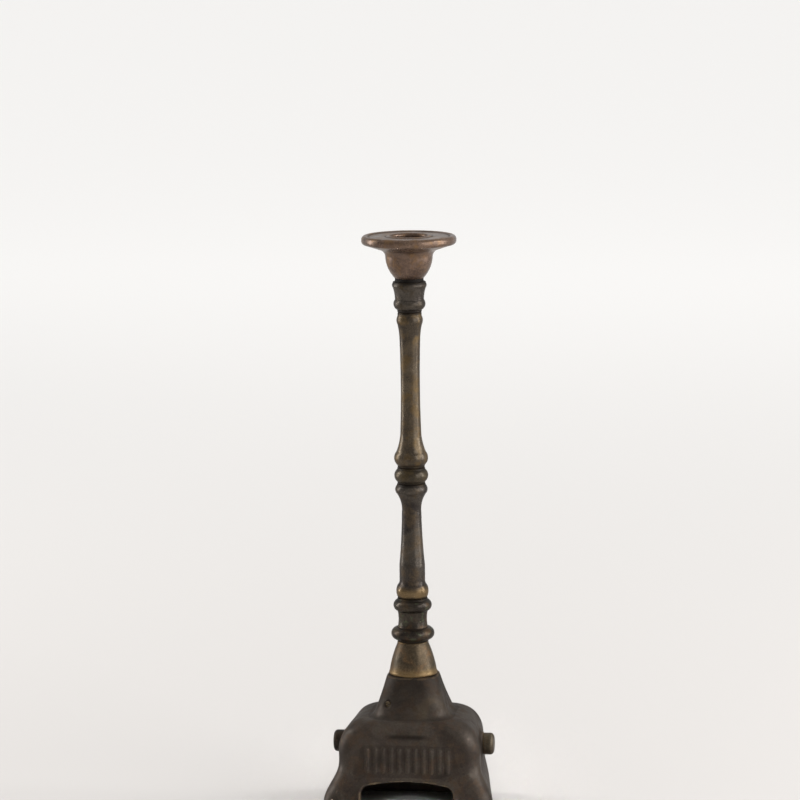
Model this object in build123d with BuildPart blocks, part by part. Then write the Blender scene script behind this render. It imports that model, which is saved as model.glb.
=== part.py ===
from build123d import *
from math import asin, cos, pi, radians, sin, sqrt
import os

os.makedirs("parts", exist_ok=True)

# Turned candlestick on a hollow four-sided cast base. Millimetres, +Z up, the origin on the
# floor under the stem's axis. The open arch of the base looks along -Y.

# Clearances
rod_clearance = 0.25
thread_clearance = 0.05
seat_gap = 0.05
cut_margin = 1.0

# Base casting: half sizes of its four-sided outline, and the heights where the outline turns
wall_half_width = 42.5
wall_half_depth = 33.0
side_taper = 2.0
front_flare = 9.8
back_flare = 1.6
depth_flare = 7.0
foot_height = 10.0
flare_height = 35.0
wall_height = 42.0
shoulder_height = 61.6
base_height = 86.0
neck_foot_half = 23.5
neck_top_half = 15.8
neck_hollow = 0.4
foot_corner_r = 8.5
neck_foot_corner_r = 10.5
neck_top_corner_r = 12.2
neck_root_fillet = 4.0
base_wall = 4.5
foot_steps = 4
blend_steps = 5
shoulder_steps = 6
shoulder_power = 0.8
neck_steps = 4

# Open arch in the front of the base
arch_half_width = 28.5
arch_spring = 21.5
arch_crown = 25.0
arch_corner_r = 5.0

# Reeded band on the front face
reed_count = 11
reed_pitch = 5.0
reed_r = 1.7
reed_relief = 0.9
reed_low = 31.0
reed_high = 44.5

# Shallow crease across the front of the shoulder, left by the casting
crease_height = 52.5
crease_half = 13.5
crease_r = 1.2
crease_depth = 0.6

# Turned pieces, from the base up. Heights inside a piece are counted from its nearer end.
seam_chamfer = 0.35
cove_dip = 0.35
flare_curl = 1.5
cone_height = 20.5
cone_foot_r = 15.0
cone_lip = 1.6
cone_top_r = 9.7
cone_swell = 0.7
collar_height = 27.5
collar_end_r = 9.7
collar_step = 1.2
low_ring_r = 13.4
low_ring_width = 7.6
waist_end_r = 9.4
waist_r = 8.8
high_ring_r = 11.9
high_ring_width = 7.0
lower_column_length = 71.8
foot_flange_r = 10.05
foot_flange_end_r = 9.1
foot_flange_width = 8.0
lower_shaft_r = 7.95
lower_shaft_start = 11.0
lower_shaft_end = 20.5
lower_waist_r = 6.05
lower_waist_drop = 18.5
lower_flare_r = 8.9
lower_flare_drop = 6.4
lower_ring_r = 10.05
lower_ring_drop = 1.0
knop_height = 10.1
knop_end_r = 8.6
knop_edge = 1.2
knop_ring_r = 10.5
upper_column_length = 96.3
bulge_end_r = 8.4
bulge_start = 1.4
bulge_r = 10.5
bulge_end = 9.8
bulge_top_r = 9.05
upper_cove_mid_r = 7.4
upper_cove_r = 6.5
upper_cove_end = 20.5
upper_shaft_r = 5.9
upper_neck_r = 6.35
upper_neck_drop = 17.3
upper_flare_r = 7.6
upper_flare_drop = 7.4
upper_bead_r = 8.15
upper_bead_drop = 2.2
upper_end_r = 7.4
top_collar_height = 19.0
top_collar_foot_r = 7.5
top_ring_start = 1.5
top_ring_r = 9.8
top_ring_end = 7.8
top_cove_r = 8.9
top_cove_mid_r = 9.25
top_lip_r = 10.1
top_lip_drop = 3.8
top_lip_reach = 10.65
top_lip_edge = 0.8

# Candle cup with its drip pan
washer_r = 8.8
washer_thick = 2.0
cup_height = 26.3
cup_foot_r = 9.1
cup_belly_r = 14.5
cup_belly_height = 13.0
cup_cove_r = 18.4
cup_cove_height = 17.8
cup_swell = 0.9
cup_swell_share = 0.44
cup_cove_reach_share = 0.3
cup_cove_rise_share = 0.66
pan_r = 29.1
pan_thick = 5.7
pan_edge_r = 2.4
pan_dish = 0.8
pan_rim_width = 4.4
candle_d = 22.0
candle_clearance = 0.25
socket_depth = 19.0
socket_mouth = 1.3
socket_mouth_depth = 2.1
socket_lip = 1.8
socket_corner_r = 3.0

# Rods, nut and washer
rod_d = 6.0
rod_end_gap = 0.6
rod_tail = 4.0
nut_flats = 10.0
nut_height = 5.0
base_washer_d = 22.0
base_washer_thick = 1.5

# Side knobs
knob_axis_height = 41.7
knob_head_r = 6.8
knob_head_length = 6.5
knob_dome = 2.4
knob_shank_d = 6.0
knob_shank_tail = 1.0
nut_room = 0.5
boss_r = 7.6
boss_reach = 1.2

# Lock screw in the corner of the neck
lock_screw_rise = 8.5
lock_screw_angle = 36.0
lock_screw_d = 4.0
lock_slot = 0.8
lock_recess = 0.6

# Heights of the seats, each on top of the piece below it
cone_z = base_height
collar_z = cone_z + cone_height
lower_column_z = collar_z + collar_height
knop_z = lower_column_z + lower_column_length
upper_column_z = knop_z + knop_height
top_collar_z = upper_column_z + upper_column_length
washer_z = top_collar_z + top_collar_height
cup_z = washer_z + washer_thick
top_z = cup_z + cup_height
ceiling_z = shoulder_height - base_wall
rod_bore_r = rod_d / 2 + rod_clearance
rod_thread_r = rod_d / 2 + thread_clearance
socket_r = candle_d / 2 + candle_clearance
rods_meet_z = knop_z + knop_height / 2
quarter_arc_share = 1 - cos(pi / 4)

nut_corner_r = nut_flats / sqrt(3)
boss_face = wall_half_width + boss_reach
inner_face = wall_half_width - base_wall - boss_reach
lock_screw_height = shoulder_height + lock_screw_rise

# The lock screw points from the stem's axis to the front left corner of the neck
lock_axis = Axis((0, 0, lock_screw_height),
                 (-sin(radians(lock_screw_angle)), -cos(radians(lock_screw_angle)), 0))
lock_plane = Plane(origin=lock_axis.position, z_dir=lock_axis.direction)


def flare_share(z):
    """Share of the foot's flare left at height z: all of it at the feet, none on the wall."""
    if z <= foot_height:
        return 1.0
    if z >= flare_height:
        return 0.0
    return 0.5 + 0.5 * cos(pi * (z - foot_height) / (flare_height - foot_height))


def shoulder_shrink(turn):
    """Share of the wall's reach past the neck left on the shoulder, fuller than a round one."""
    return max(cos(turn), 0) ** shoulder_power


def outline(z, inset, shrink):
    """Front half width, back half width and half depth of the base at height z."""
    share = flare_share(z)
    taper = side_taper * shrink
    half_x = neck_foot_half + (wall_half_width - neck_foot_half) * shrink - inset
    half_y = neck_foot_half + (wall_half_depth - neck_foot_half) * shrink - inset
    front = half_x + taper + front_flare * share
    back = half_x - taper + back_flare * share
    return front, back, half_y + depth_flare * share


def skirt_levels(inset):
    """Height and shoulder shrink of each section, from the feet to the foot of the neck."""
    levels = [(foot_height * step / foot_steps, 1.0) for step in range(foot_steps)]
    blend = flare_height - foot_height
    levels += [(foot_height + blend * step / blend_steps, 1.0) for step in range(blend_steps + 1)]
    rise = shoulder_height - inset - wall_height
    for step in range(shoulder_steps + 1):
        turn = pi / 2 * step / shoulder_steps
        levels.append((wall_height + rise * sin(turn), shoulder_shrink(turn)))
    return levels


def base_section(z, front, back, half_y, corner):
    """Four-sided face with round corners, wider at the front than at the back."""
    with BuildSketch(Plane.XY.offset(z)) as section:
        with BuildLine():
            Polyline((-front, -half_y), (front, -half_y), (back, half_y), (-back, half_y), close=True)
        make_face()
        fillet(section.vertices(), corner)
    return section.sketch


def skirt_sections(inset):
    sections = []
    for z, shrink in skirt_levels(inset):
        height_share = z / shoulder_height
        corner = foot_corner_r + (neck_foot_corner_r - foot_corner_r) * height_share - inset / 2
        sections.append(base_section(z, *outline(z, inset, shrink), corner))
    return sections


def neck_size(share):
    """Half side and corner radius of the neck at a share of the way up it."""
    half = neck_foot_half + (neck_top_half - neck_foot_half) * share - neck_hollow * sin(pi * share)
    return half, neck_foot_corner_r + (neck_top_corner_r - neck_foot_corner_r) * share


def neck_sections():
    sections = []
    for step in range(neck_steps + 1):
        half, corner = neck_size(step / neck_steps)
        z = shoulder_height + (base_height - shoulder_height) * step / neck_steps
        sections.append(base_section(z, half, half, half, corner))
    return sections


def lock_screw_reach():
    """Distance from the stem's axis to the skin of the neck's corner along the lock screw."""
    half, corner = neck_size((lock_screw_height - shoulder_height) / (base_height - shoulder_height))
    middle = half - corner
    along = middle * (sin(radians(lock_screw_angle)) + cos(radians(lock_screw_angle)))
    return along + sqrt(corner ** 2 - 2 * middle ** 2 + along ** 2)


def turned_section(bore, low, high, start, steps):
    """Closed half section of a turned piece, with small chamfers at its seams.

    Each step is an end point for a line, or a point on the way and an end point for an arc.
    """
    with BuildSketch(Plane.XZ) as section:
        with BuildLine():
            at = (start, low + seam_chamfer)
            Polyline((bore, high), (bore, low), (start - seam_chamfer, low), at)
            for step in steps:
                if len(step) == 1:
                    Line(at, step[0])
                else:
                    ThreePointArc(at, *step)
                at = step[-1]
            Polyline(at, (at[0], high - seam_chamfer), (at[0] - seam_chamfer, high), (bore, high))
        make_face()
    return section.sketch


def bead(reach, low, end):
    """Arc step that swells to the radius reach half way up, from the height low to the point end."""
    return ((reach, (low + end[1]) / 2), end)


# One reed of the front face, a bar with round ends that leans with the face
reed_foot_y = -wall_half_depth - depth_flare * flare_share(reed_low)
reed_head_y = -wall_half_depth - depth_flare * flare_share(reed_high)
reed_sink = reed_r - reed_relief
reed_foot = Vector(0, reed_foot_y + reed_sink, reed_low)
reed_head = Vector(0, reed_head_y + reed_sink, reed_high)
reed_line = reed_head - reed_foot
with BuildPart() as reed:
    with BuildSketch(Plane(origin=reed_foot, x_dir=(1, 0, 0), z_dir=reed_line)):
        Circle(reed_r)
    extrude(amount=reed_line.length)
    with Locations(reed_foot, reed_head):
        Sphere(reed_r)

# The crease follows the skin of the shoulder at its height
crease_turn = asin((crease_height - wall_height) / (shoulder_height - wall_height))
crease_skin = outline(crease_height, 0, shoulder_shrink(crease_turn))[2]
crease_y = crease_depth - crease_r - crease_skin

# Base casting: skirt, shoulders and neck outside, one hollow inside
with BuildPart() as base_casting:
    loft(sections=skirt_sections(0))
    loft(sections=neck_sections())
    neck_root = base_casting.edges().filter_by(
        lambda e: abs(e.center().Z - shoulder_height) < 0.01
    )
    fillet(neck_root, neck_root_fillet)
    loft(sections=skirt_sections(base_wall), mode=Mode.SUBTRACT)
    # Bosses for the side knobs, with a hole through each and a flat seat for its nut
    for side in (-1, 1):
        with BuildSketch(Plane.YZ.offset(side * inner_face)):
            with Locations((0, knob_axis_height)):
                Circle(boss_r)
        extrude(amount=side * (boss_face - inner_face))
        with BuildSketch(Plane.YZ.offset(side * inner_face)):
            with Locations((0, knob_axis_height)):
                Circle(nut_corner_r + nut_room)
        extrude(amount=-side * (nut_height + knob_shank_tail), mode=Mode.SUBTRACT)
        with BuildSketch(Plane.YZ.offset(side * (inner_face - cut_margin))):
            with Locations((0, knob_axis_height)):
                Circle(knob_shank_d / 2 + rod_clearance)
        extrude(amount=side * (boss_face - inner_face + 2 * cut_margin), mode=Mode.SUBTRACT)
    # Open arch in the front wall
    with BuildSketch(Plane.XZ.offset(wall_half_depth / 2)) as arch:
        with BuildLine():
            Polyline((-arch_half_width, arch_spring), (-arch_half_width, -cut_margin),
                     (arch_half_width, -cut_margin), (arch_half_width, arch_spring))
            ThreePointArc((arch_half_width, arch_spring), (0, arch_crown), (-arch_half_width, arch_spring))
        make_face()
        fillet(arch.vertices().group_by(Axis.Y)[-1], arch_corner_r)
    extrude(amount=wall_half_depth + depth_flare, mode=Mode.SUBTRACT)
    # Crease across the front
    with BuildSketch(Plane.YZ.offset(-crease_half)):
        with Locations((crease_y, crease_height)):
            Circle(crease_r)
    extrude(amount=2 * crease_half, mode=Mode.SUBTRACT)
    with Locations((-crease_half, crease_y, crease_height), (crease_half, crease_y, crease_height)):
        Sphere(crease_r, mode=Mode.SUBTRACT)
    # Bore for the rod and the hole for the lock screw
    with BuildSketch(Plane.XY.offset(ceiling_z - cut_margin)):
        Circle(rod_bore_r)
    extrude(amount=base_height - ceiling_z + 2 * cut_margin, mode=Mode.SUBTRACT)
    with BuildSketch(lock_plane):
        Circle(lock_screw_d / 2 + thread_clearance)
    extrude(amount=neck_foot_half * 2, mode=Mode.SUBTRACT)
    with GridLocations(reed_pitch, 1, reed_count, 1):
        add(reed.part)

base_casting.part.label = "base_casting"
export_step(base_casting.part, "parts/base_casting.step")

# Lock screw with a slotted head, flush in the corner of the neck, its tip on the lower rod
lock_reach = lock_screw_reach() - lock_recess
with BuildPart() as lock_screw:
    with BuildSketch(lock_plane.offset(rod_d / 2 + seat_gap)):
        Circle(lock_screw_d / 2)
    extrude(amount=lock_reach - rod_d / 2 - seat_gap)
    chamfer(lock_screw.edges().filter_by(GeomType.CIRCLE).sort_by(lock_axis)[-1], lock_slot / 4)
    with BuildSketch(lock_plane.offset(lock_reach - lock_slot)):
        Rectangle(2 * lock_screw_d, lock_slot)
    extrude(amount=2 * lock_slot, mode=Mode.SUBTRACT)

lock_screw.part.label = "lock_screw"
export_step(lock_screw.part, "parts/lock_screw.step")

# Cone that carries the stem on the neck of the base
with BuildPart() as cone:
    cone_lip_r = cone_foot_r - seam_chamfer
    revolve(turned_section(rod_bore_r, cone_z, collar_z, cone_foot_r, [
        ((cone_foot_r, cone_z + cone_lip),),
        ((cone_lip_r, cone_z + cone_lip + seam_chamfer),),
        (((cone_lip_r + cone_top_r) / 2 + cone_swell, cone_z + cone_height / 2),
         (cone_top_r, collar_z - collar_step)),
    ]), axis=Axis.Z)

cone.part.label = "cone"
export_step(cone.part, "parts/cone.step")

# Base collar: two rings with a waist between them
with BuildPart() as base_collar:
    low_ring_top = collar_z + collar_step + low_ring_width
    high_ring_top = lower_column_z - collar_step
    high_ring_foot = high_ring_top - high_ring_width
    revolve(turned_section(rod_bore_r, collar_z, lower_column_z, collar_end_r, [
        ((collar_end_r, collar_z + collar_step),),
        bead(low_ring_r, collar_z + collar_step, (waist_end_r, low_ring_top)),
        ((waist_r, (low_ring_top + high_ring_foot) / 2), (waist_end_r, high_ring_foot)),
        bead(high_ring_r, high_ring_foot, (waist_end_r, high_ring_top)),
    ]), axis=Axis.Z)

base_collar.part.label = "base_collar"
export_step(base_collar.part, "parts/base_collar.step")

# Lower column: foot flange, swelling shaft, waist and top ring
with BuildPart() as lower_column:
    foot_top = lower_column_z + foot_flange_width
    shaft_foot = lower_column_z + lower_shaft_start
    shaft_top = lower_column_z + lower_shaft_end
    waist_z = knop_z - lower_waist_drop
    flare_z = knop_z - lower_flare_drop
    revolve(turned_section(rod_bore_r, lower_column_z, knop_z, foot_flange_end_r, [
        bead(foot_flange_r, lower_column_z, (foot_flange_end_r, foot_top)),
        (((foot_flange_end_r + lower_shaft_r) / 2 - cove_dip, (foot_top + shaft_foot) / 2),
         (lower_shaft_r, shaft_foot)),
        ((lower_shaft_r, shaft_top),),
        (((lower_shaft_r + lower_waist_r) / 2 - cove_dip, (shaft_top + waist_z) / 2),
         (lower_waist_r, waist_z)),
        (((lower_waist_r + lower_flare_r) / 2 - 2 * cove_dip, (waist_z + flare_z) / 2 + flare_curl),
         (lower_flare_r, flare_z)),
        bead(lower_ring_r, flare_z, (lower_flare_r, knop_z - lower_ring_drop)),
    ]), axis=Axis.Z)

lower_column.part.label = "lower_column"
export_step(lower_column.part, "parts/lower_column.step")

# Middle knop: one ring, tapped through for both rods
with BuildPart() as middle_knop:
    revolve(turned_section(rod_thread_r, knop_z, upper_column_z, knop_end_r, [
        ((knop_end_r, knop_z + knop_edge),),
        bead(knop_ring_r, knop_z + knop_edge, (knop_end_r, upper_column_z - knop_edge)),
    ]), axis=Axis.Z)

middle_knop.part.label = "middle_knop"
export_step(middle_knop.part, "parts/middle_knop.step")

# Upper column: bulge, cove, long shaft, flare and bead
with BuildPart() as upper_column:
    bulge_top = upper_column_z + bulge_end
    cove_top = upper_column_z + upper_cove_end
    neck_z = top_collar_z - upper_neck_drop
    bead_foot = top_collar_z - upper_flare_drop
    revolve(turned_section(rod_bore_r, upper_column_z, top_collar_z, bulge_end_r, [
        ((bulge_end_r, upper_column_z + bulge_start),),
        bead(bulge_r, upper_column_z + bulge_start, (bulge_top_r, bulge_top)),
        ((upper_cove_mid_r, (bulge_top + cove_top) / 2), (upper_cove_r, cove_top)),
        ((upper_shaft_r, (cove_top + neck_z) / 2), (upper_neck_r, neck_z)),
        (((upper_neck_r + upper_flare_r) / 2 - cove_dip / 2, (neck_z + bead_foot) / 2 + flare_curl / 2),
         (upper_flare_r, bead_foot)),
        bead(upper_bead_r, bead_foot, (upper_end_r, top_collar_z - upper_bead_drop)),
    ]), axis=Axis.Z)

upper_column.part.label = "upper_column"
export_step(upper_column.part, "parts/upper_column.step")

# Top collar: ring, cove and lip
with BuildPart() as top_collar:
    ring_foot = top_collar_z + top_ring_start
    ring_top = top_collar_z + top_ring_end
    lip_foot = washer_z - top_lip_drop
    revolve(turned_section(rod_bore_r, top_collar_z, washer_z, top_collar_foot_r, [
        ((top_collar_foot_r, ring_foot),),
        bead(top_ring_r, ring_foot, (top_cove_r, ring_top)),
        ((top_cove_mid_r, (ring_top + lip_foot) / 2), (top_lip_r, lip_foot)),
        bead(top_lip_reach, lip_foot, (top_lip_r, washer_z - top_lip_edge)),
    ]), axis=Axis.Z)

top_collar.part.label = "top_collar"
export_step(top_collar.part, "parts/top_collar.step")

# Dark washer between the top collar and the cup
with BuildPart() as cup_washer:
    with BuildSketch(Plane.XY.offset(washer_z)):
        Circle(washer_r)
        Circle(rod_bore_r, mode=Mode.SUBTRACT)
    extrude(amount=washer_thick)

cup_washer.part.label = "cup_washer"
export_step(cup_washer.part, "parts/cup_washer.step")

# Candle cup: belly, drip pan with a dished top, and the socket for the candle
with BuildPart() as candle_cup:
    with BuildSketch(Plane.XZ):
        with BuildLine():
            belly_z = cup_z + cup_belly_height
            cove_z = cup_z + cup_cove_height
            under_z = top_z - pan_thick
            floor_z = top_z - socket_depth
            rim_r = pan_r - pan_edge_r
            round_off = pan_edge_r * quarter_arc_share
            mouth_r = socket_r + socket_mouth
            mouth_z = top_z - socket_mouth_depth
            corner = socket_corner_r * quarter_arc_share
            Polyline((rod_thread_r, floor_z), (rod_thread_r, cup_z), (cup_foot_r, cup_z),
                     (cup_foot_r, cup_z + seam_chamfer))
            ThreePointArc((cup_foot_r, cup_z + seam_chamfer),
                          ((cup_foot_r + cup_belly_r) / 2 + cup_swell,
                           cup_z + cup_belly_height * cup_swell_share),
                          (cup_belly_r, belly_z))
            ThreePointArc((cup_belly_r, belly_z),
                          (cup_belly_r + (cup_cove_r - cup_belly_r) * cup_cove_reach_share,
                           belly_z + (cove_z - belly_z) * cup_cove_rise_share),
                          (cup_cove_r, cove_z))
            Line((cup_cove_r, cove_z), (rim_r, under_z))
            ThreePointArc((rim_r, under_z), (pan_r - round_off, under_z + round_off),
                          (pan_r, under_z + pan_edge_r))
            Line((pan_r, under_z + pan_edge_r), (pan_r, top_z - pan_edge_r))
            ThreePointArc((pan_r, top_z - pan_edge_r), (pan_r - round_off, top_z - round_off),
                          (rim_r, top_z))
            Polyline((rim_r, top_z), (pan_r - pan_rim_width, top_z - pan_dish),
                     (mouth_r + socket_lip, top_z - pan_dish), (mouth_r, top_z))
            ThreePointArc((mouth_r, top_z), (socket_r + socket_mouth * quarter_arc_share,
                                             top_z - socket_mouth_depth * quarter_arc_share),
                          (socket_r, mouth_z))
            Line((socket_r, mouth_z), (socket_r, floor_z + socket_corner_r))
            ThreePointArc((socket_r, floor_z + socket_corner_r), (socket_r - corner, floor_z + corner),
                          (socket_r - socket_corner_r, floor_z))
            Line((socket_r - socket_corner_r, floor_z), (rod_thread_r, floor_z))
        make_face()
    revolve(axis=Axis.Z)

candle_cup.part.label = "candle_cup"
export_step(candle_cup.part, "parts/candle_cup.step")

# Rods: the lower one from the nut to the knop, the upper one from the knop into the cup
nut_z = ceiling_z - base_washer_thick - nut_height
with BuildPart() as lower_rod:
    with BuildSketch(Plane.XY.offset(nut_z - rod_tail)):
        Circle(rod_d / 2)
    extrude(amount=rods_meet_z - rod_end_gap / 2 - nut_z + rod_tail)

lower_rod.part.label = "lower_rod"
export_step(lower_rod.part, "parts/lower_rod.step")

with BuildPart() as upper_rod:
    with BuildSketch(Plane.XY.offset(rods_meet_z + rod_end_gap / 2)):
        Circle(rod_d / 2)
    extrude(amount=top_z - socket_depth - rod_end_gap - rods_meet_z - rod_end_gap / 2)

upper_rod.part.label = "upper_rod"
export_step(upper_rod.part, "parts/upper_rod.step")

# Washer and nut that pull the stem down on the base
with BuildPart() as base_washer:
    with BuildSketch(Plane.XY.offset(ceiling_z - base_washer_thick)):
        Circle(base_washer_d / 2)
        Circle(rod_bore_r, mode=Mode.SUBTRACT)
    extrude(amount=base_washer_thick)

base_washer.part.label = "base_washer"
export_step(base_washer.part, "parts/base_washer.step")

with BuildPart() as base_nut:
    with BuildSketch(Plane.XY.offset(nut_z)):
        RegularPolygon(nut_flats / 2, 6, major_radius=False)
        Circle(rod_thread_r, mode=Mode.SUBTRACT)
    extrude(amount=nut_height)

base_nut.part.label = "base_nut"
export_step(base_nut.part, "parts/base_nut.step")

# Side knobs: a domed head on the outer boss, a shank through the wall, a nut on the inner boss
knob_shank_r = knob_shank_d / 2
for side, name in ((-1, "side_knob_left"), (1, "side_knob_right")):
    with BuildPart() as side_knob:
        with BuildSketch(Plane.YZ.offset(side * boss_face)):
            with Locations((0, knob_axis_height)):
                Circle(knob_head_r)
        extrude(amount=side * knob_head_length)
        fillet(side_knob.edges().sort_by(Axis.X)[-1 if side > 0 else 0], knob_dome)
        with BuildSketch(Plane.YZ.offset(side * (inner_face - nut_height - knob_shank_tail))):
            with Locations((0, knob_axis_height)):
                Circle(knob_shank_r)
        extrude(amount=side * (boss_face - inner_face + nut_height + knob_shank_tail))
    side_knob.part.label = name
    export_step(side_knob.part, "parts/" + name + ".step")

with BuildPart() as side_knob_nuts:
    with BuildSketch(Plane.YZ.offset(inner_face)):
        with Locations((0, knob_axis_height)):
            RegularPolygon(nut_flats / 2, 6, major_radius=False)
            Circle(knob_shank_r + thread_clearance, mode=Mode.SUBTRACT)
    extrude(amount=-nut_height)
    mirror(about=Plane.YZ)

side_knob_nuts.part.label = "side_knob_nuts"
export_step(side_knob_nuts.part, "parts/side_knob_nuts.step")
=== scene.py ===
# Turned brass candlestick with a dark, worn patina. Metres, in the frame of the construction:
# +Z up, the stem's axis on the Z axis, the open arch of the base towards -Y.
import math

import bmesh
import bpy
from mathutils import Euler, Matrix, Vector


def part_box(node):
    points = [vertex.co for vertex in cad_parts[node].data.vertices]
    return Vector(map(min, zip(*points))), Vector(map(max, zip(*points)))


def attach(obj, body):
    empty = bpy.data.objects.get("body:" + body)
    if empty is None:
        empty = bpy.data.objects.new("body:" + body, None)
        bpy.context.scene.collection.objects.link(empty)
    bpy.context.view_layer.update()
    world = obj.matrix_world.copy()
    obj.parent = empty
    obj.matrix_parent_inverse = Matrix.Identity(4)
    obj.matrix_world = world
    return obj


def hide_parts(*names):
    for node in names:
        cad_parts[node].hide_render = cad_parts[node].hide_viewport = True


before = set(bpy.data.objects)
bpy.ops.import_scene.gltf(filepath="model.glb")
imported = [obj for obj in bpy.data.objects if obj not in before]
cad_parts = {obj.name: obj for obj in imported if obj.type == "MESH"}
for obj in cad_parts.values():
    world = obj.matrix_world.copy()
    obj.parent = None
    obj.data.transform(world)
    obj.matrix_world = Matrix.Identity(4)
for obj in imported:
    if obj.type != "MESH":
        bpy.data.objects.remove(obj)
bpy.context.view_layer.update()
mm = 0.001
full_turn = 2 * math.pi

# Mesh sizes
weld_distance = 0.001 * mm
ring_spacing = 0.35 * mm        # between the rings of a turned surface, outside its bore
bore_limit = 4.0 * mm           # a turned piece's bore lies within this radius
cast_voxel = 0.78 * mm
knob_voxel = 0.30 * mm
rod_segments = 24
rings_per_pitch = 8
reed_points = 41
reed_segments = 24

# Thread of the two rods
thread_pitch = 1.0 * mm
thread_depth = 0.55 * mm
rod_chamfer = 0.7 * mm

# Dents, pits and rounding of the three kinds of surface
turned_wear = {"Rounding": 2, "Dent Depth": 0.12 * mm, "Dent Size": 7 * mm, "Pit Depth": 0.05 * mm,
               "Pit Size": 1.6 * mm, "Wear Reach": 8}
casting_wear = {"Rounding": 3, "Dent Depth": 0.5 * mm, "Dent Size": 16 * mm, "Pit Depth": 0.12 * mm,
                "Pit Size": 2.4 * mm, "Wear Reach": 12}
knob_wear = {"Rounding": 2, "Dent Depth": 0.15 * mm, "Dent Size": 6 * mm, "Pit Depth": 0.06 * mm,
             "Pit Size": 2.4 * mm, "Wear Reach": 12}


def put(tree, kind, inputs=None, **settings):
    """A node of that kind with its settings, each input given a value or linked to an output."""
    made = tree.nodes.new(kind)
    for name, value in settings.items():
        setattr(made, name, value)
    for socket, value in (inputs or {}).items():
        if isinstance(value, bpy.types.NodeSocket):
            tree.links.new(value, made.inputs[socket])
        else:
            made.inputs[socket].default_value = value
    return made


def geometry_tree(name, sizes):
    """A geometry tree with those named inputs, and its group input node."""
    tree = bpy.data.node_groups.new(name, "GeometryNodeTree")
    tree.interface.new_socket("Geometry", in_out="OUTPUT", socket_type="NodeSocketGeometry")
    tree.interface.new_socket("Geometry", in_out="INPUT", socket_type="NodeSocketGeometry")
    for label, kind in sizes:
        tree.interface.new_socket(label, in_out="INPUT", socket_type="NodeSocket" + kind)
    return tree, tree.nodes.new("NodeGroupInput").outputs


def math_node(tree, operation, *values):
    """The result of one sum on values or outputs."""
    return put(tree, "ShaderNodeMath", dict(enumerate(values)), operation=operation).outputs[0]


# Worn surface: softened edges, dents and pits, and how far each point stands proud
worn_inputs = [
    ("Rounding", "Int"), ("Dent Depth", "Float"), ("Dent Size", "Float"), ("Pit Depth", "Float"),
    ("Pit Size", "Float"), ("Wear Reach", "Int"), ("Seed", "Float"), ("Finish", "Material"),
]


def make_worn_surface():
    """The group that every worn piece shares."""
    tree, given = geometry_tree("worn_surface", worn_inputs)
    place = put(tree, "GeometryNodeInputPosition").outputs[0]
    rounded = put(tree, "GeometryNodeBlurAttribute", {"Value": place, "Iterations": given["Rounding"]},
                  data_type="FLOAT_VECTOR")
    softened = put(tree, "GeometryNodeSetPosition",
                   {"Geometry": given["Geometry"], "Position": rounded.outputs["Value"]})
    normal = put(tree, "GeometryNodeInputNormal").outputs[0]
    dents = put(tree, "ShaderNodeTexNoise",
                {"Vector": place, "W": given["Seed"], "Detail": 1.0,
                 "Scale": math_node(tree, "DIVIDE", 1.0, given["Dent Size"])}, noise_dimensions="4D")
    pits = put(tree, "ShaderNodeTexNoise",
               {"Vector": place, "W": given["Seed"], "Detail": 2.0,
                "Scale": math_node(tree, "DIVIDE", 1.0, given["Pit Size"])}, noise_dimensions="4D")
    dent = math_node(tree, "MULTIPLY", math_node(tree, "SUBTRACT", dents.outputs[0], 0.5),
                     given["Dent Depth"])
    pit_edge, pit_floor = 0.58, 0.78
    hollow = put(tree, "ShaderNodeMapRange",
                 {"Value": pits.outputs[0], "From Min": pit_edge, "From Max": pit_floor})
    pit = math_node(tree, "MULTIPLY", hollow.outputs[0], given["Pit Depth"])
    push = put(tree, "ShaderNodeVectorMath",
               {0: normal, "Scale": math_node(tree, "SUBTRACT", dent, pit)}, operation="SCALE")
    pushed = put(tree, "GeometryNodeSetPosition",
                 {"Geometry": softened.outputs[0], "Offset": push.outputs[0]})
    # Nothing is pushed below the floor
    spot = put(tree, "ShaderNodeSeparateXYZ", {0: place}).outputs
    lifted = put(tree, "ShaderNodeCombineXYZ",
                 {0: spot[0], 1: spot[1], 2: math_node(tree, "MAXIMUM", spot[2], 0.0)})
    pushed = put(tree, "GeometryNodeSetPosition",
                 {"Geometry": pushed.outputs[0], "Position": lifted.outputs[0]})
    # Millimetres that a point stands above its blurred surroundings
    around = put(tree, "GeometryNodeBlurAttribute", {"Value": place, "Iterations": given["Wear Reach"]},
                 data_type="FLOAT_VECTOR")
    proud = put(tree, "ShaderNodeVectorMath", {0: place, 1: around.outputs["Value"]}, operation="SUBTRACT")
    height = put(tree, "ShaderNodeVectorMath", {0: proud.outputs[0], 1: normal}, operation="DOT_PRODUCT")
    marked = put(tree, "GeometryNodeStoreNamedAttribute",
                 {"Geometry": pushed.outputs[0], "Name": "proud",
                  "Value": math_node(tree, "DIVIDE", height.outputs["Value"], mm)})
    smooth = put(tree, "GeometryNodeSetShadeSmooth", {"Geometry": marked.outputs[0]})
    finished = put(tree, "GeometryNodeSetMaterial",
                   {"Geometry": smooth.outputs[0], "Material": given["Finish"]})
    put(tree, "NodeGroupOutput", {"Geometry": finished.outputs[0]})
    return tree


worn_surface = make_worn_surface()


def wear(tree, given, geometry):
    """The worn surface group applied to a geometry inside another tree."""
    group = put(tree, "GeometryNodeGroup", node_tree=worn_surface)
    for label, _ in worn_inputs:
        tree.links.new(given[label], group.inputs[label])
    tree.links.new(geometry, group.inputs["Geometry"])
    put(tree, "NodeGroupOutput", {"Geometry": group.outputs[0]})


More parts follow.
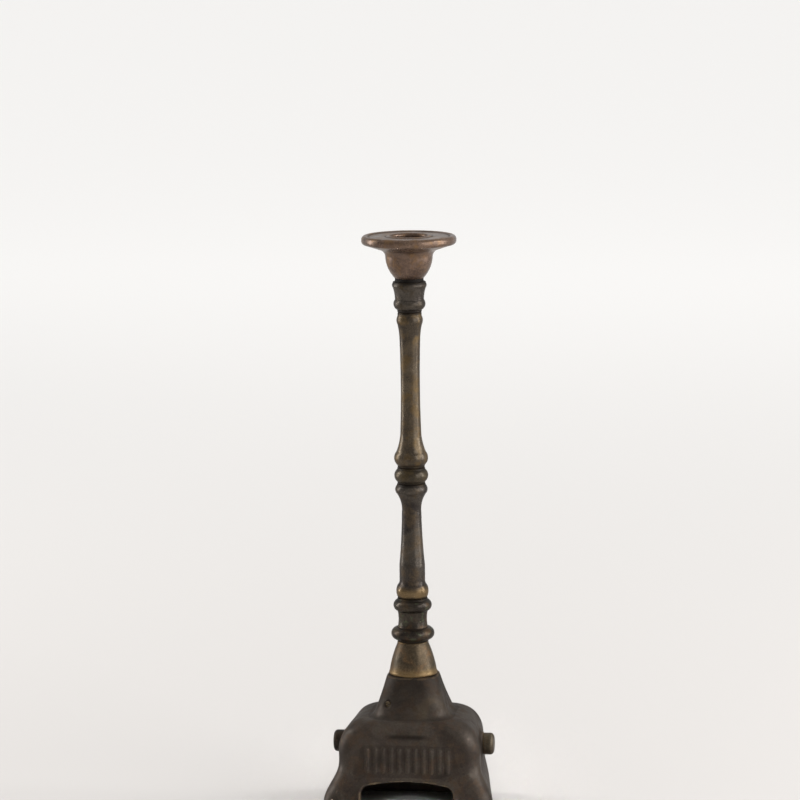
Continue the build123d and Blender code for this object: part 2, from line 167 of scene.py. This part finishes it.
def make_turned_skin():
    """Turns a closed profile, whose last point repeats the first, about the Z axis."""
    tree, given = geometry_tree("turned_skin", [("Segments", "Int")] + worn_inputs)
    rings = put(tree, "GeometryNodeAttributeDomainSize",
                {"Geometry": given["Geometry"]}).outputs["Point Count"]
    grid = put(tree, "GeometryNodeMeshGrid",
               {"Size X": 1.0, "Size Y": 1.0, "Vertices Y": rings,
                "Vertices X": math_node(tree, "ADD", given["Segments"], 1.0)})
    place = put(tree, "GeometryNodeInputPosition").outputs[0]
    across = put(tree, "ShaderNodeSeparateXYZ", {0: place})
    turn = math_node(tree, "MULTIPLY", math_node(tree, "ADD", across.outputs[0], 0.5), full_turn)
    along = math_node(tree, "MULTIPLY", math_node(tree, "ADD", across.outputs[1], 0.5),
                      math_node(tree, "SUBTRACT", rings, 1.0))
    point = put(tree, "GeometryNodeSampleIndex",
                {"Geometry": given["Geometry"], "Value": place, "Index": math_node(tree, "ROUND", along)},
                data_type="FLOAT_VECTOR", domain="POINT")
    swung = put(tree, "ShaderNodeVectorRotate", {"Vector": point.outputs[0], "Angle": turn},
                rotation_type="Z_AXIS")
    turned = put(tree, "GeometryNodeSetPosition",
                 {"Geometry": grid.outputs[0], "Position": swung.outputs[0]})
    closed = put(tree, "GeometryNodeMergeByDistance",
                 {"Geometry": turned.outputs[0], "Distance": weld_distance})
    wear(tree, given, closed.outputs[0])
    return tree


def make_cast_skin():
    """Wears the surface of a mesh that is already whole."""
    tree, given = geometry_tree("cast_skin", worn_inputs)
    wear(tree, given, given["Geometry"])
    return tree


turned_skin = make_turned_skin()
cast_skin = make_cast_skin()


def finish_piece(name, source, tree, sizes, body, nodes):
    """Applies a tree with its sizes to the source object and gives a plain mesh on that body."""
    modifier = source.modifiers.new("form", "NODES")
    modifier.node_group = tree
    for item in tree.interface.items_tree:
        if item.in_out == "INPUT" and item.name in sizes:
            modifier[item.identifier] = sizes[item.name]
    whole = source.evaluated_get(bpy.context.evaluated_depsgraph_get())
    mesh = bpy.data.meshes.new_from_object(whole)
    mesh.name = name
    bpy.data.objects.remove(source)
    piece = bpy.data.objects.new(name, mesh)
    bpy.context.scene.collection.objects.link(piece)
    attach(piece, body)
    if nodes:
        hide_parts(*nodes)
    return piece


def welded(node):
    """A merged copy of a construction node's mesh, as an edit mesh."""
    shell = bmesh.new()
    shell.from_mesh(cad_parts[node].data)
    bmesh.ops.remove_doubles(shell, verts=shell.verts, dist=weld_distance)
    return shell


def object_from(name, shell):
    """An object in the scene with that edit mesh, which is used up."""
    mesh = bpy.data.meshes.new(name)
    shell.to_mesh(mesh)
    shell.free()
    made = bpy.data.objects.new(name, mesh)
    bpy.context.scene.collection.objects.link(made)
    return made


def seam_profile(node):
    """The closed half section of a turned node, walked along its seam, evenly divided outside the bore."""
    shell = welded(node)
    left = {v for v in shell.verts if abs(v.co.y) < weld_distance and v.co.x > 0}
    at = min(left, key=lambda v: (round(v.co.z / weld_distance), v.co.x))
    walk = []
    while True:
        walk.append(Vector((at.co.x, 0.0, at.co.z)))
        left.discard(at)
        beside = [e.other_vert(at) for e in at.link_edges if e.other_vert(at) in left]
        beside = beside or [v for v in left if abs(v.co.z - at.co.z) < weld_distance]
        if not beside:
            break
        at = min(beside, key=lambda v: (v.co - walk[-1]).length)
    shell.free()
    if sum(a.x * b.z - b.x * a.z for a, b in zip(walk, walk[1:] + walk[:1])) < 0:
        walk.reverse()
    points = []
    for a, b in zip(walk, walk[1:] + walk[:1]):
        in_bore = max(a.x, b.x) < bore_limit
        steps = 1 if in_bore else max(1, math.ceil((b - a).length / ring_spacing))
        points += [a.lerp(b, step / steps) for step in range(steps)]
    return points + points[:1]


def turned_piece(node, body, finish, segments, seed):
    """A turned node with a worn surface in place of its plain one."""
    points = seam_profile(node)
    mesh = bpy.data.meshes.new(node + "_profile")
    mesh.from_pydata(points, [(i, i + 1) for i in range(len(points) - 1)], [])
    source = bpy.data.objects.new(node + "_profile", mesh)
    bpy.context.scene.collection.objects.link(source)
    sizes = {"Segments": segments, "Seed": seed, "Finish": finish, **turned_wear}
    return finish_piece("worn_" + node, source, turned_skin, sizes, body, [node])


def make_threaded_rod():
    """A rod along Z with one sharp helical thread, closed to a point at the middle of each end."""
    tree, given = geometry_tree("threaded_rod", [
        ("Length", "Float"), ("Foot", "Float"), ("Pitch", "Float"), ("Crest Radius", "Float"),
        ("Root Radius", "Float"), ("End Chamfer", "Float"), ("Segments", "Int"), ("Rings", "Int"),
        ("Finish", "Material")])
    grid = put(tree, "GeometryNodeMeshGrid",
               {"Size X": 1.0, "Size Y": 1.0, "Vertices X": math_node(tree, "ADD", given["Segments"], 1.0),
                "Vertices Y": given["Rings"]})
    place = put(tree, "ShaderNodeSeparateXYZ", {0: put(tree, "GeometryNodeInputPosition").outputs[0]})
    turn = math_node(tree, "MULTIPLY", math_node(tree, "ADD", place.outputs[0], 0.5), full_turn)
    share = math_node(tree, "ADD", place.outputs[1], 0.5)
    # The first and last rings close to a point, the next ones stand at the rod's ends
    last = math_node(tree, "SUBTRACT", given["Rings"], 3.0)
    ring = math_node(tree, "MULTIPLY", share, math_node(tree, "ADD", last, 2.0))
    ring = math_node(tree, "SUBTRACT", ring, 1.0)
    along = put(tree, "ShaderNodeClamp", {"Value": math_node(tree, "DIVIDE", ring, last)}).outputs[0]
    height = math_node(tree, "MULTIPLY", along, given["Length"])
    wave = math_node(tree, "SUBTRACT", math_node(tree, "DIVIDE", height, given["Pitch"]),
                     math_node(tree, "DIVIDE", turn, full_turn))
    half, half_flat = 0.5, 0.06
    tooth = math_node(tree, "PINGPONG", wave, half)
    radius = put(tree, "ShaderNodeMapRange",
                 {"Value": tooth, "From Min": half_flat, "From Max": half - half_flat,
                  "To Min": given["Root Radius"], "To Max": given["Crest Radius"]}).outputs[0]
    from_end = math_node(tree, "MINIMUM", height, math_node(tree, "SUBTRACT", given["Length"], height))
    limit = math_node(tree, "SUBTRACT", given["Crest Radius"], given["End Chamfer"])
    limit = math_node(tree, "ADD", limit, from_end)
    radius = math_node(tree, "MINIMUM", radius, limit)
    inside = math_node(tree, "MINIMUM", math_node(tree, "ADD", ring, 1.0),
                       math_node(tree, "SUBTRACT", math_node(tree, "ADD", last, 1.0), ring))
    closing = put(tree, "ShaderNodeClamp", {"Value": math_node(tree, "ROUND", inside)}).outputs[0]
    radius = math_node(tree, "MULTIPLY", radius, closing)
    point = put(tree, "ShaderNodeCombineXYZ",
                {0: math_node(tree, "MULTIPLY", radius, math_node(tree, "COSINE", turn)),
                 1: math_node(tree, "MULTIPLY", radius, math_node(tree, "SINE", turn)),
                 2: math_node(tree, "ADD", height, given["Foot"])})
    wound = put(tree, "GeometryNodeSetPosition",
                {"Geometry": grid.outputs[0], "Position": point.outputs[0]})
    closed = put(tree, "GeometryNodeMergeByDistance",
                 {"Geometry": wound.outputs[0], "Distance": weld_distance})
    smooth = put(tree, "GeometryNodeSetShadeSmooth", {"Geometry": closed.outputs[0]})
    finished = put(tree, "GeometryNodeSetMaterial",
                   {"Geometry": smooth.outputs[0], "Material": given["Finish"]})
    put(tree, "NodeGroupOutput", {"Geometry": finished.outputs[0]})
    return tree


def rod_piece(node, tree, finish):
    """A threaded rod in place of a plain one."""
    low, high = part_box(node)
    radius, length = (high[0] - low[0]) / 2, high[2] - low[2]
    sizes = {"Length": length, "Foot": low[2], "Pitch": thread_pitch, "Crest Radius": radius,
             "Root Radius": radius - thread_depth, "End Chamfer": rod_chamfer, "Segments": rod_segments,
             "Rings": rings_per_pitch * round(length / thread_pitch) + 3, "Finish": finish}
    seed_object = object_from(node + "_seed", bmesh.new())
    return finish_piece("threaded_" + node, seed_object, tree, sizes, "stand", [node])


def cast_piece(node, body, finish, voxel, seed, marks):
    """A cast node, remeshed evenly, with a worn surface in place of its plain one."""
    source = object_from(node + "_cast", welded(node))
    remesh = source.modifiers.new("even", "REMESH")
    remesh.mode = "VOXEL"
    remesh.voxel_size = voxel
    sizes = {"Seed": seed, "Finish": finish, **marks}
    return finish_piece("worn_" + node, source, cast_skin, sizes, body, [node])


def make_reed_row():
    """A row of round bars with round ends along X, all leaning from Foot to Head."""
    tree, given = geometry_tree("reed_row", [
        ("Count", "Int"), ("Pitch", "Float"), ("Radius", "Float"), ("Foot", "Vector"), ("Head", "Vector"),
        ("Finish", "Material")])
    bar = put(tree, "GeometryNodeCurvePrimitiveLine", {"Start": given["Foot"], "End": given["Head"]})
    bar = put(tree, "GeometryNodeResampleCurve", {"Curve": bar.outputs[0], "Count": reed_points})
    share = put(tree, "GeometryNodeSplineParameter").outputs["Length"]
    whole = put(tree, "ShaderNodeVectorMath", {0: given["Head"], 1: given["Foot"]}, operation="DISTANCE")
    near = math_node(tree, "MINIMUM", share, math_node(tree, "SUBTRACT", whole.outputs["Value"], share))
    short = math_node(tree, "SUBTRACT", 1.0, put(tree, "ShaderNodeClamp", {
        "Value": math_node(tree, "DIVIDE", near, given["Radius"])}).outputs[0])
    round_end = math_node(tree, "SUBTRACT", 1.0, math_node(tree, "MULTIPLY", short, short))
    thinnest = 0.02
    share_of_radius = math_node(tree, "MAXIMUM", math_node(tree, "SQRT", round_end), thinnest)
    size = math_node(tree, "MULTIPLY", given["Radius"], share_of_radius)
    ring = put(tree, "GeometryNodeCurvePrimitiveCircle", {"Resolution": reed_segments, "Radius": 1.0})
    skin = put(tree, "GeometryNodeCurveToMesh", {"Curve": bar.outputs[0], "Profile Curve": ring.outputs[0],
                                                 "Scale": size, "Fill Caps": True})
    gaps = math_node(tree, "SUBTRACT", given["Count"], 1.0)
    width = math_node(tree, "MULTIPLY", given["Pitch"], gaps)
    first = put(tree, "ShaderNodeCombineXYZ", {0: math_node(tree, "MULTIPLY", width, -0.5)}).outputs[0]
    step = put(tree, "ShaderNodeCombineXYZ", {0: given["Pitch"]}).outputs[0]
    row = put(tree, "GeometryNodeMeshLine",
              {"Count": given["Count"], "Start Location": first, "Offset": step}, mode="OFFSET")
    bars = put(tree, "GeometryNodeInstanceOnPoints",
               {"Points": row.outputs[0], "Instance": skin.outputs[0]})
    bars = put(tree, "GeometryNodeRealizeInstances", {"Geometry": bars.outputs[0]})
    smooth = put(tree, "GeometryNodeSetShadeSmooth", {"Geometry": bars.outputs[0]})
    finished = put(tree, "GeometryNodeSetMaterial",
                   {"Geometry": smooth.outputs[0], "Material": given["Finish"]})
    put(tree, "NodeGroupOutput", {"Geometry": finished.outputs[0]})
    return tree


# Finishes
def shade(red, green, blue):
    """A colour given as it shows on a screen, 0 to 255, as linear values."""
    def line(part):
        part /= 255
        return part / 12.92 if part <= 0.04045 else ((part + 0.055) / 1.055) ** 2.4
    return (line(red), line(green), line(blue), 1.0)


brass = shade(150, 122, 78)
pale_brass = shade(144, 122, 92)
verdigris = shade(84, 92, 70)
# Dark colour for soiling in the grooves and for the painted shade at the seams, crease and neck
dirt_and_shade_colour = shade(22, 17, 13)


def new_finish(name):
    """A material, its empty node tree and the coordinates of the object that wears it."""
    material = bpy.data.materials.new(name)
    material.use_nodes = True
    tree = material.node_tree
    tree.nodes.clear()
    return material, tree, put(tree, "ShaderNodeTexCoord").outputs["Object"]


def main_shader(tree, inputs):
    """The shader with those inputs, joined to the material's output."""
    shader = put(tree, "ShaderNodeBsdfPrincipled", inputs)
    put(tree, "ShaderNodeOutputMaterial", {"Surface": shader.outputs[0]})


def noise(tree, place, size, detail=4.0, roughness=0.55, distortion=0.0, seed=0.0):
    """Noise whose blots are about that size."""
    return put(tree, "ShaderNodeTexNoise",
               {"Vector": place, "Scale": 1 / size, "Detail": detail, "Roughness": roughness,
                "Distortion": distortion, "W": seed}, noise_dimensions="4D").outputs[0]


def spread(tree, value, low, high, to_low=0.0, to_high=1.0):
    """A value taken smoothly from one range to another."""
    return put(tree, "ShaderNodeMapRange",
               {"Value": value, "From Min": low, "From Max": high, "To Min": to_low, "To Max": to_high},
               interpolation_type="SMOOTHSTEP").outputs[0]


def ragged(tree, length, cloud, depth):
    """A length that wanders to either side by that depth."""
    return math_node(tree, "ADD", length, spread(tree, cloud, 0.3, 0.7, -depth, depth))


def mix(tree, share, first, second, blend="MIX"):
    """Two colours mixed, each a value or an output."""
    made = put(tree, "ShaderNodeMix", data_type="RGBA", blend_type=blend, clamp_factor=True)
    for socket, value in ((0, share), (6, first), (7, second)):
        if isinstance(value, bpy.types.NodeSocket):
            tree.links.new(value, made.inputs[socket])
        else:
            made.inputs[socket].default_value = value
    return made.outputs[2]


def patina(name, dark, middle, warm, metal, seed, wear_from=0.06, wear_to=0.18, wear_most=0.45,
           rub=0.12, green=0.0, turned=True, matt=0.42, sheen_low=0.23, soot=0.6, rim=0.45,
           band=None, ends=None, grainy=0.5, crease=None, neck=None, relief=0.06 * mm):
    """Brown patina over brass: blotches of three shades, rubbed through where the surface stands proud.

    wear_from and wear_to are millimetres that an edge stands proud. band is the height of a foot
    that is rubbed to brass, ends are the heights of a piece's two seams, darkened by soiling and
    painted shade, crease is the height and half width of the painted shade along the fold in the
    front, and neck is the height above which the casting is darkened with painted shade.
    """
    material, tree, place = new_finish(name)
    blot = noise(tree, place, 22 * mm, 5.0, 0.6, 0.6, seed)
    cloud = noise(tree, place, 7 * mm, 5.0, 0.62, 0.3, seed + 3)
    grain = noise(tree, place, 0.9 * mm, 4.0, 0.6, 0.0, seed + 5)
    spot = put(tree, "ShaderNodeSeparateXYZ", {0: place}).outputs

    # The brown coat
    brown = mix(tree, spread(tree, blot, 0.36, 0.62), dark, middle)
    brown = mix(tree, spread(tree, cloud, 0.46, 0.68), brown, warm)
    if green:
        spots = noise(tree, place, 3.2 * mm, 3.0, 0.6, 0.2, seed + 9)
        share = spread(tree, spots, 0.60 - green, 0.68 - green, 0.0, 0.6)
        brown = mix(tree, share, brown, verdigris)
    speckle = mix(tree, spread(tree, grain, 0.35, 0.7), shade(120, 116, 112), shade(255, 250, 244))
    brown = mix(tree, grainy, brown, speckle, "MULTIPLY")

    # Brass on proud edges, in a few blots and in the band
    proud = put(tree, "ShaderNodeAttribute", attribute_name="proud").outputs["Fac"]
    edge = spread(tree, proud, wear_from, wear_to)
    edge = math_node(tree, "ADD", edge, spread(tree, cloud, 0.35, 0.7, -0.5, 0.35))
    rubbed = math_node(tree, "MAXIMUM", spread(tree, edge, 0.45, 1.0, 0.0, wear_most),
                       spread(tree, blot, 0.58, 0.74, 0.0, rub))
    if band:
        band_rub = 0.36
        level = ragged(tree, spot[2], cloud, 1.2 * mm)
        foot = spread(tree, level, band + 1.5 * mm, band + 6 * mm, band_rub, 0.0)
        rubbed = math_node(tree, "MAXIMUM", rubbed, foot)

    # Dirt in the grooves, soiling and painted shade at the seams, painted shade in the crease and on the
    # neck
    grime_and_shade = spread(tree, proud, 0.0, -0.05, 0.0, soot)
    if ends:
        # The seams are darkened, part soiling and part painted shade where the pieces meet
        seam_dirt_and_shade = 0.8
        inward = math_node(tree, "MINIMUM", math_node(tree, "SUBTRACT", spot[2], ends[0]),
                           math_node(tree, "SUBTRACT", ends[1], spot[2]))
        inward = ragged(tree, inward, cloud, 0.5 * mm)
        seam = spread(tree, inward, 0.5 * mm, 2.2 * mm, seam_dirt_and_shade, 0.0)
        grime_and_shade = math_node(tree, "MAXIMUM", grime_and_shade, seam)
    if crease:
        # Painted shade along the fold in the front of the casting
        painted_crease_shade, front_face = 0.7, -20 * mm
        crease_height, half_width = crease
        off = math_node(tree, "ABSOLUTE", math_node(tree, "SUBTRACT", spot[2], crease_height))
        beside = math_node(tree, "ABSOLUTE", spot[0])
        fold = math_node(tree, "MULTIPLY", spread(tree, off, 0.0, 2.2 * mm, painted_crease_shade, 0.0),
                         spread(tree, beside, half_width - 5 * mm, half_width + 3 * mm, 1.0, 0.0))
        in_front = spread(tree, spot[1], front_face, front_face + 5 * mm, 1.0, 0.0)
        grime_and_shade = math_node(tree, "MAXIMUM", grime_and_shade, math_node(tree, "MULTIPLY", fold, in_front))
    if neck:
        # Painted shade darkens the casting above the neck's height
        painted_neck_shade = 0.36
        level = ragged(tree, spot[2], cloud, 2 * mm)
        neck_shade_share = spread(tree, level, neck - 4 * mm, neck + 5 * mm, 0.0, painted_neck_shade)
        grime_and_shade = math_node(tree, "MAXIMUM", grime_and_shade, neck_shade_share)
    colour = mix(tree, grime_and_shade, mix(tree, rubbed, brown, metal), dirt_and_shade_colour)

    # Dirt and painted shade are duller, and rubbed brass shinier
    gloss = math_node(tree, "ADD", spread(tree, cloud, 0.3, 0.7, sheen_low, matt),
                      math_node(tree, "MULTIPLY", grime_and_shade, 0.25))
    gloss = math_node(tree, "SUBTRACT", gloss, math_node(tree, "MULTIPLY", rubbed, 0.08))
    rise = math_node(tree, "ADD", math_node(tree, "MULTIPLY", grain, 0.5),
                     math_node(tree, "MULTIPLY", cloud, 0.8))
    if turned:
        lathe = put(tree, "ShaderNodeMapping", {"Vector": place, "Scale": (0.02, 0.02, 1.0)}).outputs[0]
        marks = noise(tree, lathe, 0.55 * mm, 2.0, 0.5, 0.0, seed + 13)
        rise = math_node(tree, "ADD", rise, math_node(tree, "MULTIPLY", marks, 0.25))
    bump = put(tree, "ShaderNodeBump", {"Height": rise, "Distance": relief, "Strength": 0.7})
    main_shader(tree, {"Base Color": colour, "Roughness": gloss, "Normal": bump.outputs[0],
                       "Metallic": 0.65, "Specular Tint": (rim, rim, rim, 1)})
    return material


def plain_steel(name):
    """Dull grey steel with a little dirt."""
    material, tree, place = new_finish(name)
    cloud = noise(tree, place, 3 * mm, 5.0, 0.6)
    grain = noise(tree, place, 0.4 * mm, 3.0, 0.5)
    colour = mix(tree, spread(tree, cloud, 0.4, 0.65), shade(118, 114, 108), shade(78, 68, 56))
    bump = put(tree, "ShaderNodeBump", {"Height": grain, "Distance": 0.02 * mm, "Strength": 0.6})
    main_shader(tree, {"Base Color": colour, "Roughness": spread(tree, cloud, 0.3, 0.7, 0.32, 0.55),
                       "Normal": bump.outputs[0], "Metallic": 1.0})
    return material


def oiled_leather(name):
    """Near black leather with a fine pebble."""
    material, tree, place = new_finish(name)
    pebble = noise(tree, place, 0.5 * mm, 3.0, 0.5)
    colour = mix(tree, spread(tree, pebble, 0.4, 0.65), shade(14, 11, 9), shade(27, 21, 16))
    bump = put(tree, "ShaderNodeBump", {"Height": pebble, "Distance": 0.1 * mm, "Strength": 0.8})
    main_shader(tree, {"Base Color": colour, "Roughness": spread(tree, pebble, 0.3, 0.7, 0.6, 0.85),
                       "Specular IOR Level": 0.15, "Normal": bump.outputs[0]})
    return material


def end_heights(node):
    """The heights of a node's lower and upper end."""
    low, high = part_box(node)
    return low[2], high[2]


cup_finish = patina(
    "cup_patina", shade(90, 72, 61), shade(122, 101, 87), shade(124, 95, 64), pale_brass, 1.0,
    rim=0.85)
collar_finish = patina(
    "top_collar_patina", shade(58, 52, 48), shade(90, 84, 77), shade(72, 62, 49), brass, 2.0,
    wear_most=0.3, ends=end_heights("top_collar"))
upper_finish = patina(
    "upper_column_patina", shade(72, 64, 55), shade(100, 89, 74), shade(102, 84, 57), brass, 3.0,
    wear_most=0.25, ends=end_heights("upper_column"))
knop_finish = patina(
    "knop_patina", shade(60, 54, 46), shade(92, 83, 68), shade(80, 68, 48), brass, 4.0,
    wear_most=0.25, ends=end_heights("middle_knop"))
lower_finish = patina(
    "lower_column_patina", shade(50, 45, 43), shade(84, 78, 71), shade(84, 72, 58), brass, 5.0,
    wear_most=0.25, ends=end_heights("lower_column"), band=end_heights("lower_column")[0] + 2.5 * mm)
base_collar_finish = patina(
    "base_collar_patina", shade(47, 42, 38), shade(72, 65, 57), shade(80, 63, 46), brass, 6.0,
    green=0.03, ends=end_heights("base_collar"))
cone_finish = patina(
    "cone_patina", shade(68, 61, 49), shade(92, 79, 62), shade(104, 82, 58), brass, 7.0,
    rub=0.15, matt=0.52, sheen_low=0.34, band=end_heights("cone")[0])
# The casting gets painted shade in its front crease and above its neck
cast_finish = patina(
    "cast_patina", shade(54, 47, 42), shade(72, 65, 58), shade(72, 59, 48), pale_brass, 8.0,
    wear_from=0.12, wear_to=0.40, wear_most=0.22, turned=False, matt=0.58, sheen_low=0.42,
    soot=0.25, grainy=0.3, crease=(52.5 * mm, 12.5 * mm), neck=66 * mm, relief=0.07 * mm)
# The two knobs share one patina, painted darker on the left knob as painted shade and lighter on the right
# knob as painted light
shaded_left_knob_finish = patina(
    "shaded_left_knob_patina", shade(38, 33, 29), shade(52, 46, 40), shade(54, 44, 35), pale_brass, 11.0,
    wear_most=0.15, turned=False, matt=0.6, sheen_low=0.45)
lit_right_knob_finish = patina(
    "lit_right_knob_patina", shade(70, 63, 52), shade(92, 83, 69), shade(88, 74, 55), brass, 12.0,
    wear_most=0.3, turned=False, matt=0.55, sheen_low=0.4)
screw_finish = patina(
    "screw_patina", shade(66, 56, 44), shade(84, 74, 60), shade(92, 78, 58), brass, 9.0)
steel_finish = plain_steel("dull_steel")
leather_finish = oiled_leather("oiled_leather")

# The stand
turned_piece("cone", "stand", cone_finish, 160, 1.3)
turned_piece("base_collar", "stand", base_collar_finish, 144, 2.3)
turned_piece("lower_column", "stand", lower_finish, 112, 3.3)
turned_piece("middle_knop", "stand", knop_finish, 128, 4.3)
turned_piece("upper_column", "stand", upper_finish, 112, 5.3)
turned_piece("top_collar", "stand", collar_finish, 128, 6.3)
cast_piece("base_casting", "stand", cast_finish, cast_voxel, 7.3, casting_wear)
for node, finish, seed in (("side_knob_left", shaded_left_knob_finish, 8.3),
                           ("side_knob_right", lit_right_knob_finish, 9.3)):
    cast_piece(node, "stand", finish, knob_voxel, seed, knob_wear)

# The cup
turned_piece("candle_cup", "cup", cup_finish, 192, 10.3)

# The reeds of the front, which lean with its face
reed_sizes = {"Count": 11, "Pitch": 5 * mm, "Radius": 1.7 * mm, "Finish": cast_finish,
              "Foot": Vector((0, -32.7, 29.3)) * mm, "Head": Vector((0, -32.2, 46.2)) * mm}
reed_seed = object_from("reeds_seed", bmesh.new())
finish_piece("reeds", reed_seed, make_reed_row(), reed_sizes, "stand", [])

# Rods, and the small pieces that keep their construction meshes
threaded_rod = make_threaded_rod()
for node in ("lower_rod", "upper_rod"):
    rod_piece(node, threaded_rod, steel_finish)
for node, finish in (("lock_screw", screw_finish), ("cup_washer", leather_finish),
                     ("base_washer", steel_finish), ("base_nut", steel_finish),
                     ("side_knob_nuts", steel_finish)):
    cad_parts[node].data.materials.clear()
    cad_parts[node].data.materials.append(finish)


# Floor, light and camera
def pale_floor():
    """A wide sheet of paper whose colour is painted darker near the front and paler towards the back,
    painted shade and light.
    """
    mesh = bpy.data.meshes.new("floor")
    reach = 30.0
    mesh.from_pydata([(-reach, -reach, 0), (reach, -reach, 0), (reach, reach, 0), (-reach, reach, 0)],
                     [], [(0, 1, 2, 3)])
    floor = bpy.data.objects.new("floor", mesh)
    bpy.context.scene.collection.objects.link(floor)
    material, tree, place = new_finish("pale_paper")
    # The paper's colour runs from dark near the front to pale at the back, a painted falloff of light
    shaded_near_paper, lit_far_paper = (0.52, 0.502, 0.487, 1), (0.91, 0.905, 0.895, 1)
    back = put(tree, "ShaderNodeSeparateXYZ", {0: place}).outputs[1]
    colour = mix(tree, spread(tree, back, -0.2, 2.9), shaded_near_paper, lit_far_paper)
    main_shader(tree, {"Base Color": colour, "Roughness": 0.9, "Specular IOR Level": 0.1})
    mesh.materials.append(material)


def softbox(name, place, target, width, height, watts, in_gloss=True):
    """A flat light at a place, turned to its target, and seen in polished metal or not."""
    light = bpy.data.lights.new(name, "AREA")
    light.shape = "RECTANGLE"
    light.size = width
    light.size_y = height
    light.energy = watts
    made = bpy.data.objects.new(name, light)
    made.location = place
    made.rotation_euler = (Vector(target) - Vector(place)).to_track_quat("-Z", "Y").to_euler()
    made.visible_glossy = in_gloss
    bpy.context.scene.collection.objects.link(made)
    return light


def studio():
    """A pale room, darker towards the camera, even light from above, side boxes and low front lights."""
    world = bpy.data.worlds.new("studio")
    bpy.context.scene.world = world
    world.use_nodes = True
    tree = world.node_tree
    sky = tree.nodes["Background"]
    sky.inputs["Color"].default_value = (1.0, 0.985, 0.97, 1)
    way = put(tree, "ShaderNodeTexCoord").outputs["Generated"]
    back = put(tree, "ShaderNodeSeparateXYZ", {0: way}).outputs[1]
    tree.links.new(spread(tree, back, -0.3, 0.8, 0.34, 0.78), sky.inputs["Strength"])
    overcast = bpy.data.lights.new("overcast", "SUN")
    overcast.energy = 1.6
    overcast.angle = math.radians(110)
    above = bpy.data.objects.new("overcast", overcast)
    above.visible_glossy = False
    bpy.context.scene.collection.objects.link(above)
    middle, foot, arch = (0, 0, 0.2), (0, 0, 0.02), (0, 0.01, 0)
    softbox("left_box", (-1.6, 0.25, 0.6), middle, 0.4, 1.5, 18)
    softbox("right_box", (1.5, 0.1, 0.7), middle, 0.5, 1.5, 17)
    softbox("front_right_box", (1.5, -0.9, 0.7), middle, 1.1, 1.3, 15)
    softbox("low_box", (0.3, -2.45, 1.12), foot, 1.0, 0.35, 9, in_gloss=False)
    # Lights only the front of the floor inside the arch
    beam = softbox("arch_beam", (0.25, -2.24, 0.96), arch, 0.12, 0.05, 0.026, in_gloss=False)
    beam.spread = math.radians(4)


def photo_camera():
    """The photographer's view: a long lens, a little to the right of the front, tilted and looking down."""
    distance, height = 2.184, 0.6055
    swing, pitch, roll = math.radians(7.5), math.radians(9.05), math.radians(-0.6)
    lens = bpy.data.cameras.new("camera")
    lens.sensor_width = 36.0
    lens.lens = 162.0
    lens.shift_x = -0.0131
    lens.clip_end = 100.0
    camera = bpy.data.objects.new("camera", lens)
    camera.location = (distance * math.sin(swing), -distance * math.cos(swing), height)
    turn = Euler((math.pi / 2 - pitch, 0, swing)).to_matrix() @ Euler((0, 0, roll)).to_matrix()
    camera.rotation_euler = turn.to_euler()
    bpy.context.scene.collection.objects.link(camera)
    bpy.context.scene.camera = camera


pale_floor()
studio()
photo_camera()
bpy.context.scene.view_settings.view_transform = "Standard"
